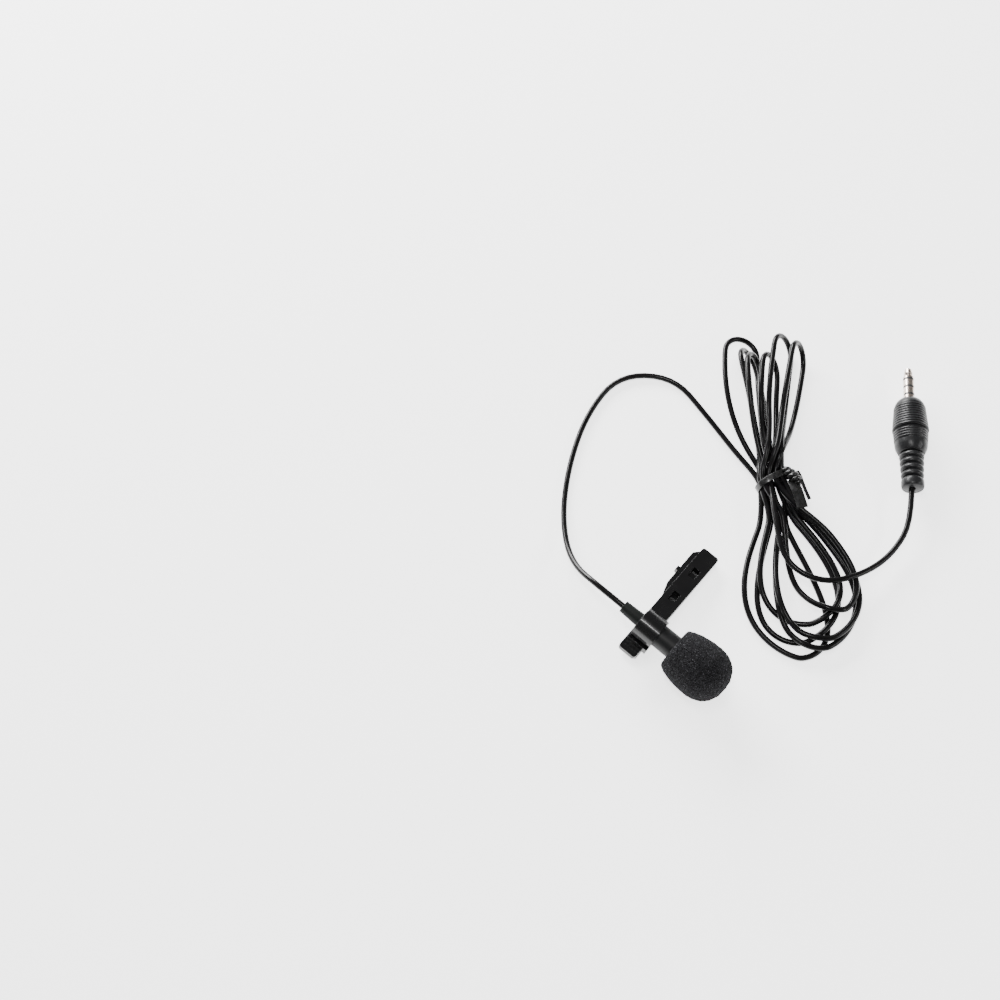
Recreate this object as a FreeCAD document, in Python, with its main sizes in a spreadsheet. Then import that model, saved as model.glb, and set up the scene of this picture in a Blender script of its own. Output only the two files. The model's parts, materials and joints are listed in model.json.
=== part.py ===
import FreeCAD, Part
import Sketcher
import math
import os

# Lavalier microphone: an electret capsule in a slim barrel with a foam windscreen, held by the ring
# of a spring clip that turns on the barrel, and a thin lead tied in a hank that ends in a 3.5 mm
# four-contact plug.  Millimetres.  The part lies on the plane z = 0, +X runs along the barrel to the
# windscreen, +Y along the clip to its jaws, and the origin is under the middle of the head's box.

doc = FreeCAD.newDocument("lavalier_microphone")
dim = doc.addObject("Spreadsheet::Sheet", "dim")

# Driving dimensions.  Lengths along the barrel start at the middle of the clip's ring.
SIZES = {
    # how the head lies
    "head_across": -9.11, "head_along": -12.86, "head_height": 11.62, "head_tilt": 7.4, "head_slope": 6.13,
    # barrel
    "barrel_radius": 3.7, "barrel_bore": 3.2, "barrel_rear": 3.8, "barrel_front": 22.5,
    "barrel_rear_wall": 1.8, "relief_neck": 1.8, "grille_thick": 0.8, "grille_hole": 0.45,
    "grille_circle": 1.9,
    # capsule
    "can_radius": 3.0, "can_rear": 15.7, "can_length": 5.0, "can_wall": 0.25, "can_port": 0.6,
    "gasket_thick": 0.6, "felt_thick": 0.3, "ring_thick": 0.3, "film_thick": 0.05, "spacer_thick": 0.1,
    "plate_thick": 0.4, "plate_radius": 2.2, "cup_length": 3.3, "board_thick": 0.5,
    # lead, crimp and strain relief
    "cord_radius": 0.95, "wire_radius": 0.35, "wire_spread": 0.6, "crimp_radius": 1.4,
    "crimp_length": 2.5, "relief_flange": 2.8, "relief_length": 6.6, "relief_big": 2.2,
    "relief_small": 1.95,
    # windscreen
    "foam_start": 9.2, "foam_length": 19.5, "foam_radius": 9.0, "foam_neck": 6.7, "foam_depth": 14.6,
    "running_gap": 0.05,
    # clip
    "ring_radius": 4.9, "ring_length": 7.0, "lever_half": 3.1, "lever_top": 4.3, "lever_thick": 1.7,
    "lever_front": 36.7, "lever_back": 9.0, "window_long": 3.8, "window_wide": 2.4, "window_one": 16.1,
    "window_two": 27.0, "pin_drop": 7.9, "pin_radius": 0.8, "ear_radius": 1.5, "ear_outer": 0.9,
    "ear_inner": 0.85, "jaw_front": 36.3, "jaw_back": 5.4, "jaw_thick": 1.5, "jaw_drop": 11.35,
    "bill_half": 4.8, "bill_start": 15.3, "bill_slant": 5.4, "bite_length": 5.0,
    "bite_ramp": 5.0, "bite_thick": 1.6, "tip_cut": 2.5,
    "nub_at": 25.6, "nub_long": 1.6, "nub_out": 0.8, "nub_high": 2.0, "nub_lift": 1.0, "arm_offset": 1.0,
    "foot_front": 4.7, "foot_back": 5.6, "foot_height": 2.6,
    "coil_radius": 1.15, "coil_wire": 0.2, "coil_pitch": 0.45, "coil_turns": 3.5, "coil_leg": 6.5,
    # hank and its tie
    "hank_height": 5.6, "tie_width": 2.4, "tie_thick": 0.7, "tie_span": 11.6, "tie_tail": 12.0,
    "knot_long": 3.2, "knot_high": 2.2, "tail_wide": 3.4, "tail_drop": 1.4,
    # plug, along its own axis from the body's front face
    "plug_x": 6.24, "plug_y": 110.38, "plug_turn": 124.4, "plug_radius": 5.9, "plug_waist": 5.35,
    "plug_neck": 4.1, "plug_length": 21.0, "plug_cavity": 3.3, "plug_shoulder": 3.6,
    "boot_length": 12.7, "boot_big": 3.85, "boot_small": 3.45, "boot_ring": 0.55,
    "rib_first": 3.7, "rib_pitch": 2.4, "rib_gap": 0.6, "rib_growth": 0.1, "plug_wall": 2.0,
    "sleeve_root": 3.0, "tip_root": 4.5, "tip_collar": 0.7,
    "jack_radius": 1.75, "jack_neck": 1.45, "jack_length": 12.4, "jack_liner": 1.15, "jack_rod": 0.5,
    "insulator_length": 0.7, "contact_pitch": 3.0, "tip_length": 4.3,
}
for row, (alias, value) in enumerate(SIZES.items(), start=1):
    dim.set("A%d" % row, alias)
    dim.set("B%d" % row, str(value))
    dim.setAlias("B%d" % row, alias)
doc.recompute()


# ---- shared making functions -------------------------------------------------------------------

parts = []
X_TURN = FreeCAD.Rotation(FreeCAD.Vector(0, 1, 0), 90)


def size(expression):
    """The value of an expression on the sheet."""
    if isinstance(expression, str):
        return float(dim.evalExpression(expression))
    return float(expression)


def bind(feature, name, expression):
    """Tie one property of a feature to the sheet."""
    if isinstance(expression, str):
        feature.setExpression(name, expression)
    else:
        feature.setExpression(name, str(expression))


def place(feature, start, rotation=None):
    """Set a feature's corner or centre from three expressions."""
    if rotation is not None:
        feature.Placement.Rotation = rotation
    for axis, expression in zip("xyz", start):
        bind(feature, "Placement.Base." + axis, expression)


def rod(name, radius, length, start, rotation=X_TURN):
    """A cylinder from a start point, along +X unless it is turned."""
    feature = doc.addObject("Part::Cylinder", name)
    bind(feature, "Radius", radius)
    bind(feature, "Height", length)
    place(feature, start, rotation)
    return feature


def block(name, sides, corner):
    """A box from its lowest corner."""
    feature = doc.addObject("Part::Box", name)
    for side, expression in zip(("Length", "Width", "Height"), sides):
        bind(feature, side, expression)
    place(feature, corner)
    return feature


def cut(name, base, tool):
    feature = doc.addObject("Part::Cut", name)
    feature.Base = base
    feature.Tool = tool
    return feature


def fuse(name, shapes):
    feature = doc.addObject("Part::MultiFuse", name)
    feature.Shapes = shapes
    return feature


def finished(label, feature, placement):
    """Give a sub-part its label and its place in the microphone."""
    feature.Label = label
    doc.recompute()
    local = feature.Placement
    for axis in "xyz":
        feature.setExpression("Placement.Base." + axis, None)
    feature.Placement = placement.multiply(local)
    parts.append(feature)
    return feature


def on_head(along="0"):
    """The pose of the head, with a start along the barrel."""
    lean = FreeCAD.Rotation(FreeCAD.Vector(0, 1, 0), size("dim.head_tilt"))
    slope = FreeCAD.Rotation(FreeCAD.Vector(1, 0, 0), -size("dim.head_slope"))
    base = FreeCAD.Vector(size("dim.head_across"), size("dim.head_along"), size("dim.head_height"))
    pose = FreeCAD.Placement(base, lean.multiply(slope))
    return pose.multiply(FreeCAD.Placement(FreeCAD.Vector(size(along), 0, 0), FreeCAD.Rotation()))


def on_plug(along="0"):
    """The pose of the plug, lying on its body's side, with a start along its axis."""
    turn = FreeCAD.Rotation(FreeCAD.Vector(0, 0, 1), size("dim.plug_turn"))
    face = FreeCAD.Vector(size("dim.plug_x"), size("dim.plug_y"), size("dim.plug_radius"))
    pose = FreeCAD.Placement(face, turn)
    return pose.multiply(FreeCAD.Placement(FreeCAD.Vector(size(along), 0, 0), FreeCAD.Rotation()))


def turned(label, outline, placement):
    """A lathe-turned sub-part: a closed outline of (along, radius) expressions revolved about X."""
    body = doc.addObject("PartDesign::Body", label)
    sketch = body.newObject("Sketcher::SketchObject", label + "_outline")
    planes = {plane.Role: plane for plane in body.Origin.OriginFeatures}
    sketch.AttachmentSupport = (planes["XY_Plane"], [""])
    sketch.MapMode = "FlatFace"
    corners = [FreeCAD.Vector(size(along), size(radius), 0) for along, radius in outline]
    count = len(corners)
    for index in range(count):
        sketch.addGeometry(Part.LineSegment(corners[index], corners[(index + 1) % count]), False)
    for index in range(count):
        sketch.addConstraint(Sketcher.Constraint("Coincident", index, 2, (index + 1) % count, 1))
    for index, (along, radius) in enumerate(outline):
        pin_corner(sketch, index, "X", along, corners[index].x)
        pin_corner(sketch, index, "Y", radius, corners[index].y)
    revolution = body.newObject("PartDesign::Revolution", label + "_turning")
    revolution.Profile = sketch
    revolution.ReferenceAxis = (sketch, ["H_Axis"])
    revolution.Angle = 360
    body.Tip = revolution
    return finished(label, body, placement)


def pin_corner(sketch, index, axis, expression, value):
    """Hold one corner of an outline at its distance from the sketch's origin."""
    if abs(value) < 1e-9:
        other_axis = {"X": -2, "Y": -1}[axis]
        sketch.addConstraint(Sketcher.Constraint("PointOnObject", index, 1, other_axis))
        return
    number = sketch.addConstraint(Sketcher.Constraint("Distance" + axis, -1, 1, index, 1, value))
    bind(sketch, "Constraints[%d]" % number, expression)


def washer(label, outer, inner, length, placement):
    """A plain ring or sleeve along X."""
    outline = [("0", inner), ("0", outer), (length, outer), (length, inner)]
    return turned(label, outline, placement)


# ---- barrel ------------------------------------------------------------------------------------
# A thin aluminium tube, closed at the rear but for the hole that the strain relief's neck fills.

turned("barrel_housing", [
    ("0", "dim.relief_neck"), ("0", "dim.barrel_radius"),
    ("dim.barrel_rear + dim.barrel_front", "dim.barrel_radius"),
    ("dim.barrel_rear + dim.barrel_front", "dim.barrel_bore"),
    ("dim.barrel_rear_wall", "dim.barrel_bore"), ("dim.barrel_rear_wall", "dim.relief_neck"),
], on_head("-dim.barrel_rear"))


# The grille is a pressed cap with a ring of sound holes round a middle one.

grille_cap = rod("grille_cap", "dim.barrel_radius", "dim.grille_thick", ("dim.barrel_front", 0, 0))
grille_lip = rod("grille_lip", "dim.barrel_bore", 1.2, ("dim.barrel_front - 1.2", 0, 0))
grille_hollow = rod("grille_hollow", "dim.barrel_bore - 0.5", 1.2, ("dim.barrel_front - 1.2", 0, 0))
grille_holes = [rod("grille_hole_0", "dim.grille_hole", 4, ("dim.barrel_front - 2", 0, 0))]
for hole in range(6):
    around = math.radians(60 * hole)
    grille_holes.append(rod("grille_hole_%d" % (hole + 1), "dim.grille_hole", 4, (
        "dim.barrel_front - 2",
        "dim.grille_circle * %.6f" % math.cos(around), "dim.grille_circle * %.6f" % math.sin(around))))
grille_solid = cut("grille_solid", fuse("grille_blank", [grille_cap, grille_lip]), grille_hollow)
finished("front_grille", cut("front_grille", grille_solid, fuse("grille_drills", grille_holes)), on_head())


# ---- electret capsule, from its front to its board -----------------------------------------------

CAN_FRONT = "dim.can_rear + dim.can_length"
washer("capsule_gasket", "dim.barrel_bore", "dim.can_radius - 0.6", "dim.gasket_thick", on_head(CAN_FRONT))
washer("dust_felt", "dim.can_radius - 0.65", "0", "dim.felt_thick", on_head(CAN_FRONT))
turned("capsule_can", [
    ("0", "dim.can_radius - dim.can_wall"), ("0", "dim.can_radius"), ("dim.can_length", "dim.can_radius"),
    ("dim.can_length", "dim.can_port"), ("dim.can_length - dim.can_wall", "dim.can_port"),
    ("dim.can_length - dim.can_wall", "dim.can_radius - dim.can_wall"),
], on_head("dim.can_rear"))

INNER = "dim.can_radius - dim.can_wall"
RING_AT = CAN_FRONT + " - dim.can_wall - dim.ring_thick"
FILM_AT = RING_AT + " - dim.film_thick"
SPACER_AT = FILM_AT + " - dim.spacer_thick"
PLATE_AT = SPACER_AT + " - dim.plate_thick"
CUP_AT = SPACER_AT + " - dim.cup_length"
washer("diaphragm_ring", INNER, INNER + " - 0.45", "dim.ring_thick", on_head(RING_AT))
washer("diaphragm", INNER, "0", "dim.film_thick", on_head(FILM_AT))
washer("diaphragm_spacer", INNER, "dim.plate_radius", "dim.spacer_thick", on_head(SPACER_AT))
washer("capsule_insulator", INNER, "dim.plate_radius", "dim.cup_length", on_head(CUP_AT))
washer("contact_ring", "dim.plate_radius", "dim.plate_radius - 0.3", "dim.cup_length - dim.plate_thick",
       on_head(CUP_AT))

plate_disc = rod("plate_disc", "dim.plate_radius", "dim.plate_thick", (PLATE_AT, 0, 0))
plate_holes = []
for hole in range(4):
    around = math.radians(90 * hole)
    plate_holes.append(rod("plate_hole_%d" % hole, 0.25, 2, (
        PLATE_AT + " - 1", "1.2 * %.6f" % math.cos(around), "1.2 * %.6f" % math.sin(around))))
finished("backplate", cut("backplate", plate_disc, fuse("plate_drills", plate_holes)), on_head())

washer("capsule_circuit_board", INNER, "0", "dim.board_thick", on_head(CUP_AT + " - dim.board_thick"))
finished("fet_transistor", block("fet_transistor", (0.8, 1.6, 1.3), (0, -0.8, -0.65)), on_head(CUP_AT))


# ---- lead end inside the barrel ------------------------------------------------------------------
# Two wires run from the board to the lead, which a crimp holds behind the strain relief's flange.

LEAD_END = "dim.crimp_length"
WIRE_LENGTH = size(CUP_AT + " - dim.board_thick - dim.crimp_length")
for label, side in (("signal_wire", 1), ("shield_wire", -1)):
    wire = rod(label, "dim.wire_radius", WIRE_LENGTH, (LEAD_END, "dim.wire_spread * %d" % side, 0))
    finished(label, wire, on_head())

washer("cable_crimp", "dim.crimp_radius", "dim.cord_radius", "dim.crimp_length", on_head())
washer("rear_bush", "dim.barrel_bore", "dim.cord_radius + 0.1", "1.0", on_head("-1.0"))
turned("mic_strain_relief", [
    ("0", "dim.cord_radius"), ("0", "dim.relief_small"), ("dim.relief_length", "dim.relief_big"),
    ("dim.relief_length", "dim.relief_neck"), ("dim.relief_length + dim.barrel_rear_wall", "dim.relief_neck"),
    ("dim.relief_length + dim.barrel_rear_wall", "dim.relief_flange"),
    ("dim.relief_length + dim.barrel_rear - 1.0", "dim.relief_flange"),
    ("dim.relief_length + dim.barrel_rear - 1.0", "dim.cord_radius"),
], on_head("-dim.barrel_rear - dim.relief_length"))


# ---- windscreen ----------------------------------------------------------------------------------
# Open-cell foam with a blind bore that grips the barrel's front.

turned("foam_windscreen", [
    ("0", "dim.barrel_radius + dim.running_gap"), ("0", "dim.foam_neck - 1.2"), ("1.2", "dim.foam_neck"),
    ("dim.foam_length * 0.2", "dim.foam_radius - 1.0"), ("dim.foam_length * 0.42", "dim.foam_radius - 0.15"),
    ("dim.foam_length * 0.6", "dim.foam_radius"), ("dim.foam_length * 0.8", "dim.foam_radius - 1.1"),
    ("dim.foam_length * 0.93", "dim.foam_radius - 3.6"), ("dim.foam_length", "dim.foam_radius - 6.5"),
    ("dim.foam_length", "0"), ("dim.foam_depth", "0"),
    ("dim.foam_depth", "dim.barrel_radius + dim.running_gap"),
], on_head("dim.foam_start"))


# ---- clip ----------------------------------------------------------------------------------------
# The upper lever is one moulding: a flat arm with two windows, the ring that turns on the barrel,
# a foot that joins them, and two ears that hold the hinge pin.

arm = block("arm", ("2 * dim.lever_half", "dim.lever_front + dim.lever_back", "dim.lever_thick"),
            ("-dim.lever_half - dim.arm_offset", "-dim.lever_back", "-dim.lever_top - dim.lever_thick"))
arm_corners = doc.addObject("Part::Fillet", "arm_corners")
arm_corners.Base = arm
doc.recompute()
upright_edges = [number for number, edge in enumerate(arm.Shape.Edges, start=1)
                 if abs(edge.tangentAt(edge.FirstParameter).z) > 0.99]
arm_corners.Edges = [(number, 1.0, 1.0) for number in upright_edges]
foot = block("foot", ("dim.ring_length", "dim.foot_front + dim.foot_back", "dim.foot_height"),
             ("-dim.ring_length / 2", "-dim.foot_back", "-dim.lever_top - 0.6"))
ring = rod("ring", "dim.ring_radius", "dim.ring_length", ("-dim.ring_length / 2", 0, 0))
ears = []
for name, start in (("ear_left", "-dim.lever_half"), ("ear_right", "dim.lever_half - dim.ear_outer")):
    ears.append(rod(name, "dim.ear_radius", "dim.ear_outer", (start, 0, "-dim.pin_drop")))
    ears.append(block(name + "_root", ("dim.ear_outer", "2 * dim.ear_radius", "dim.pin_drop - dim.lever_top"),
                      (start, "-dim.ear_radius", "-dim.pin_drop")))
lever_blank = fuse("lever_blank", [arm_corners, foot, ring] + ears)
ring_bore = rod("ring_bore", "dim.barrel_radius + dim.running_gap", "dim.ring_length + 2",
                ("-dim.ring_length / 2 - 1", 0, 0))
ear_bore = rod("ear_bore", "dim.pin_radius", "2 * dim.lever_half + 2",
               ("-dim.lever_half - 1", 0, "-dim.pin_drop"))
windows = [block("window_%d" % number, ("dim.window_wide", "dim.window_long", 4),
                 ("-dim.window_wide / 2 - dim.arm_offset", middle + " - dim.window_long / 2",
                  "-dim.lever_top - 3"))
           for number, middle in enumerate(("dim.window_one", "dim.window_two"))]
lever_cuts = fuse("lever_cuts", [ring_bore, ear_bore] + windows)
finished("clip_upper_lever", cut("clip_upper_lever", lever_blank, lever_cuts), on_head())

finished("hinge_pin", rod("hinge_pin", "dim.pin_radius", "2 * dim.lever_half",
                          ("-dim.lever_half", 0, "-dim.pin_drop")), on_head())


def spring_shape():
    """A torsion spring about the hinge pin with one leg along each handle."""
    radius, wire, drop = size("dim.coil_radius"), size("dim.coil_wire"), size("dim.pin_drop")
    height = size("dim.coil_pitch * dim.coil_turns")
    helix = Part.makeHelix(size("dim.coil_pitch"), height, radius)
    section = Part.Wire(Part.makeCircle(wire, FreeCAD.Vector(radius, 0, 0), FreeCAD.Vector(0, 1, 0)))
    coil = Part.Wire(helix.Edges).makePipeShell([section], True, True)
    coil.rotate(FreeCAD.Vector(), FreeCAD.Vector(0, 1, 0), 90)
    coil.translate(FreeCAD.Vector(-height / 2, 0, -drop))
    legs = []
    for start, side, slope in ((-height / 2, -1, -0.02), (height / 2, 1, 0.11)):
        foot_point = FreeCAD.Vector(start, 0, -drop - side * radius)
        legs.append(Part.makeCylinder(wire, size("dim.coil_leg"), foot_point, FreeCAD.Vector(0, -1, -slope)))
    return coil.fuse(legs)


torsion_spring = doc.addObject("Part::Feature", "torsion_spring")
torsion_spring.Shape = spring_shape()
finished("torsion_spring", torsion_spring, on_head())


def jaw_side():
    """The lower lever's side, (along, up): a straight back that slopes up to the bite."""
    rise = size("(dim.jaw_drop - dim.lever_top - dim.lever_thick - dim.bite_thick) / dim.jaw_front")
    drop, thick = size("dim.jaw_drop"), size("dim.jaw_thick")
    front, back, bite = size("dim.jaw_front"), -size("dim.jaw_back"), size("dim.bite_length")
    bite_top = -size("dim.lever_top + dim.lever_thick + dim.running_gap")
    ramp_foot = front - bite - size("dim.bite_ramp")
    return [(back, rise * back - drop), (front, rise * front - drop), (front, bite_top),
            (front - bite, bite_top), (ramp_foot, rise * ramp_foot - drop + thick),
            (back, rise * back - drop + thick)]


def jaw_slab(low, high, side):
    corners = [FreeCAD.Vector(low, along, up) for along, up in side]
    face = Part.Face(Part.makePolygon(corners + corners[:1]))
    return face.extrude(FreeCAD.Vector(high - low, 0, 0))


def lower_lever_shape():
    """The plate with a bill that is wider on the lead's side, and two ears inside the upper ones."""
    half, slant = size("dim.lever_half + dim.arm_offset"), size("dim.bill_slant")
    bill, right = size("dim.bill_half + dim.arm_offset"), size("dim.lever_half - dim.arm_offset")
    start, front, tip_cut = size("dim.bill_start"), size("dim.jaw_front"), size("dim.tip_cut")
    slab = jaw_slab(-bill, right, jaw_side())
    spare = Part.Face(Part.makePolygon([
        FreeCAD.Vector(-bill - 1, -20, -20), FreeCAD.Vector(-half, -20, -20),
        FreeCAD.Vector(-half, start, -20),
        FreeCAD.Vector(-bill, start + slant, -20), FreeCAD.Vector(-bill - 1, start + slant, -20),
        FreeCAD.Vector(-bill - 1, -20, -20)])).extrude(FreeCAD.Vector(0, 0, 20))
    tip = Part.Face(Part.makePolygon([
        FreeCAD.Vector(-bill - 1, front - tip_cut, -20), FreeCAD.Vector(-bill, front - tip_cut, -20),
        FreeCAD.Vector(-bill + 2, front, -20), FreeCAD.Vector(-bill + 2, front + 1, -20),
        FreeCAD.Vector(-bill - 1, front + 1, -20), FreeCAD.Vector(-bill - 1, front - tip_cut, -20)]))
    plate = slab.cut([spare, tip.extrude(FreeCAD.Vector(0, 0, 20))])
    nub_corner = FreeCAD.Vector(-bill - size("dim.nub_out"), size("dim.nub_at"),
                                size("dim.jaw_thick + dim.nub_lift - dim.jaw_drop"))
    nub_root = 1.7
    nub_long, nub_high = size("dim.nub_long"), size("dim.nub_high")
    plate = plate.fuse(Part.makeBox(size("dim.nub_out") + nub_root, nub_long, nub_high, nub_corner))
    drop, radius, thick = size("dim.pin_drop"), size("dim.ear_radius"), size("dim.ear_inner")
    outside = size("dim.lever_half - dim.ear_outer - 0.1")
    ears = []
    for start_x in (-outside, outside - thick):
        ear_corner = FreeCAD.Vector(start_x, 0, -drop)
        ears.append(Part.makeCylinder(radius, thick, ear_corner, FreeCAD.Vector(1, 0, 0)))
        ears.append(Part.makeBox(thick, 2 * radius, 2.4, FreeCAD.Vector(start_x, -radius, -drop - 2.4)))
    bore = Part.makeCylinder(size("dim.pin_radius + dim.running_gap"), 2 * half,
                             FreeCAD.Vector(-half, 0, -drop), FreeCAD.Vector(1, 0, 0))
    return plate.fuse(ears).cut(bore).removeSplitter()


clip_lower_lever = doc.addObject("Part::Feature", "clip_lower_lever")
clip_lower_lever.Shape = lower_lever_shape()
finished("clip_lower_lever", clip_lower_lever, on_head())


# ---- plug ----------------------------------------------------------------------------------------
# A hollow moulded body with one deep groove, a ribbed boot, and four contacts on an insulating core.

turned("plug_body", [
    ("0", "dim.plug_neck"), ("dim.plug_length * 0.17", "dim.plug_waist"),
    ("dim.plug_length * 0.4", "dim.plug_waist"), ("dim.plug_length * 0.4", "dim.plug_waist - 0.5"),
    ("dim.plug_length * 0.44", "dim.plug_waist - 0.5"), ("dim.plug_length * 0.44", "dim.plug_radius"),
    ("dim.plug_length - 2 * dim.plug_shoulder", "dim.plug_radius - 0.2"),
    ("dim.plug_length - dim.plug_shoulder", "dim.plug_radius - 0.75"),
    ("dim.plug_length - dim.plug_shoulder * 0.4", "dim.plug_radius - 1.7"),
    ("dim.plug_length", "dim.plug_radius - 3.8"),
    ("dim.plug_length", "dim.jack_neck"), ("dim.plug_length - dim.plug_wall", "dim.jack_neck"),
    ("dim.plug_length - dim.plug_wall", "dim.plug_cavity"), ("dim.plug_wall", "dim.plug_cavity"),
    ("dim.plug_wall", "dim.cord_radius + 0.6"),
    ("0", "dim.cord_radius + 0.6"),
], on_plug("-dim.plug_length"))

boot_outline = [("0", "dim.cord_radius"), ("0", "dim.boot_small - dim.boot_ring"), ("1.6", "dim.boot_small")]
for rib in range(4):
    rib_at = "dim.rib_first + %d * dim.rib_pitch" % rib
    rib_radius = "dim.boot_small + %d * dim.rib_growth" % rib
    boot_outline += [(rib_at, rib_radius), (rib_at, "dim.boot_small - dim.boot_ring"),
                     (rib_at + " + dim.rib_gap", "dim.boot_small - dim.boot_ring"),
                     (rib_at + " + dim.rib_gap", rib_radius)]
boot_outline += [("dim.boot_length", "dim.boot_big"), ("dim.boot_length", "dim.cord_radius + 0.6"),
                 ("dim.boot_length + dim.plug_wall", "dim.cord_radius + 0.6"),
                 ("dim.boot_length + dim.plug_wall", "dim.cord_radius")]
turned("plug_boot", boot_outline, on_plug("-dim.plug_length - dim.boot_length"))

SLEEVE_END = "dim.jack_length - dim.tip_length - 2 * dim.contact_pitch - dim.insulator_length"
washer("jack_core", "dim.jack_liner", "dim.jack_rod", "dim.jack_length - dim.tip_length + 3", on_plug("-3"))
turned("jack_sleeve", [
    ("0", "dim.jack_liner"), ("0", "dim.plug_cavity"), ("1", "dim.plug_cavity"), ("1", "dim.jack_neck"),
    ("dim.sleeve_root", "dim.jack_neck"), ("dim.sleeve_root", "dim.jack_radius"),
    ("dim.sleeve_root + " + SLEEVE_END, "dim.jack_radius"), ("dim.sleeve_root + " + SLEEVE_END, "dim.jack_liner"),
], on_plug("-3"))
RING_LENGTH = "dim.contact_pitch - dim.insulator_length"
for label, outside, length, start in (
        ("sleeve_insulator", "dim.jack_radius", "dim.insulator_length", SLEEVE_END),
        ("jack_ring_two", "dim.jack_radius", RING_LENGTH, SLEEVE_END + " + dim.insulator_length"),
        ("ring_insulator", "dim.jack_radius", "dim.insulator_length", SLEEVE_END + " + dim.contact_pitch"),
        ("jack_ring_one", "dim.jack_radius", RING_LENGTH,
         SLEEVE_END + " + dim.contact_pitch + dim.insulator_length"),
        ("tip_insulator", "dim.jack_radius", "dim.insulator_length", SLEEVE_END + " + 2 * dim.contact_pitch")):
    washer(label, outside, "dim.jack_liner", length, on_plug(start))
turned("jack_tip", [
    ("0", "0"), ("0", "dim.jack_rod"), ("dim.tip_root + dim.jack_length - dim.tip_length", "dim.jack_rod"),
    ("dim.tip_root + dim.jack_length - dim.tip_length", "dim.jack_radius"),
    ("dim.tip_root + dim.jack_length - dim.tip_length + dim.tip_collar", "dim.jack_radius"),
    ("dim.tip_root + dim.jack_length - dim.tip_length + 1.2", "dim.jack_radius - 0.55"),
    ("dim.tip_root + dim.jack_length - dim.tip_length + 2.2", "dim.jack_radius - 0.3"),
    ("dim.tip_root + dim.jack_length - 0.5", "dim.jack_radius - 0.65"),
    ("dim.tip_root + dim.jack_length", "dim.jack_rod"),
    ("dim.tip_root + dim.jack_length", "0"),
], on_plug("-dim.tip_root"))
finished("jack_solder_tag", block("jack_solder_tag", (5, 1.6, 0.4), ("-8", -0.8, 1.6)), on_plug())
washer("plug_crimp", "dim.crimp_radius", "dim.cord_radius", "dim.crimp_length",
       on_plug("dim.plug_wall - dim.plug_length"))


# ---- lead, hank and tie ---------------------------------------------------------------------------
# The routes are lists of corners in the part's own frame: straight runs joined by tangent arcs.

MIC_ROUTE = [
    (-27.46, -12.86, 14.0), (-42.9, -8.6, 4.9), (-55.96, 3.56, 1.0), (-66.45, 20.0, 1.0), (-74.26, 39.31, 1.0),
    (-75.76, 58.81, 1.0), (-60.92, 70.31, 1.0), (-42.72, 64.77, 1.0), (-27.28, 59.25, 1.8),
    (-14.26, 56.81, 3.0),
]
PLUG_ROUTE = [
    (-13.76, 59.31, 4.2), (-3.26, 45.81, 6.6), (8.74, 33.61, 6.8), (21.74, 35.31, 6.8), (29.54, 46.31, 5.5),
    (32.94, 59.81, 3.4),
]


def tube(corners, radius):
    """A round tube along straight runs joined by tangent arcs."""
    corners = [FreeCAD.Vector(*corner) for corner in corners]
    edges, start, radii = [], corners[0], []
    for before, here, after in zip(corners, corners[1:], corners[2:]):
        towards, away = (before - here).normalize(), (after - here).normalize()
        half_turn = (math.pi - towards.getAngle(away)) / 2
        reach = 0.45 * min((here - before).Length, (after - here).Length)
        bend = reach / math.tan(half_turn)
        middle = (towards + away).normalize()
        inner = here + middle * (bend / math.cos(half_turn) - bend)
        edges.append(Part.LineSegment(start, here + towards * reach).toShape())
        edges.append(Part.Arc(here + towards * reach, inner, here + away * reach).toShape())
        start = here + away * reach
        radii.append(round(bend, 1))
    edges.append(Part.LineSegment(start, corners[-1]).toShape())
    path = Part.Wire(edges)
    section = Part.Wire(Part.makeCircle(radius, corners[0], corners[1] - corners[0]))
    solid = path.makePipeShell([section], True, False)
    wanted = math.pi * radius ** 2 * path.Length
    print("tube length", round(path.Length, 1), "radii", radii, "volume ratio", round(solid.Volume / wanted, 4))
    return solid


def cord_piece(label, corners):
    feature = doc.addObject("Part::Feature", label)
    feature.Shape = tube(corners, size("dim.cord_radius"))
    finished(label, feature, FreeCAD.Placement())


lead_start = on_head().multVec(FreeCAD.Vector(0, 0, 0))
plug_entry = on_plug("-dim.plug_length - dim.boot_length - 10.5").multVec(FreeCAD.Vector(0, 0, 0))
plug_end = on_plug("-dim.plug_length + dim.plug_wall").multVec(FreeCAD.Vector(0, 0, 0))
cord_piece("mic_lead", [tuple(lead_start)] + MIC_ROUTE)
cord_piece("plug_lead", PLUG_ROUTE + [tuple(plug_entry), tuple(plug_end)])

# The hank is six turns drawn in by the tie: one solid of its outer shape, narrow at the tie.
HANK_OUTLINE = [
    (-12.26, 69.81), (-20.26, 83.81), (-26.76, 96.81), (-32.76, 106.31), (-39.76, 109.81),
    (-45.76, 102.31), (-53.76, 97.81), (-53.76, 88.81), (-46.76, 77.31), (-35.26, 68.31),
    (-21.26, 60.31), (-15.06, 52.31), (-11.76, 45.81), (-5.76, 37.31), (-1.26, 25.81),
    (5.74, 15.31), (13.74, 8.81), (22.74, 6.31), (31.24, 9.81), (37.74, 19.81), (40.24, 30.81), (34.74, 44.31),
    (22.74, 55.31), (6.74, 59.81), (-7.46, 62.81),
]


def hank_shape():
    curve = Part.BSplineCurve()
    curve.interpolate([FreeCAD.Vector(x, y, 0) for x, y in HANK_OUTLINE], PeriodicFlag=True)
    return Part.Face(Part.Wire(curve.toShape())).extrude(FreeCAD.Vector(0, 0, size("dim.hank_height")))


cable_hank = doc.addObject("Part::Feature", "cable_hank")
cable_hank.Shape = hank_shape()
finished("cable_hank", cable_hank, FreeCAD.Placement())


# ---- tie -----------------------------------------------------------------------------------------
# A flat plastic-covered wire wrapped once round the hank's middle, twisted, with its tail laid out.

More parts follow.
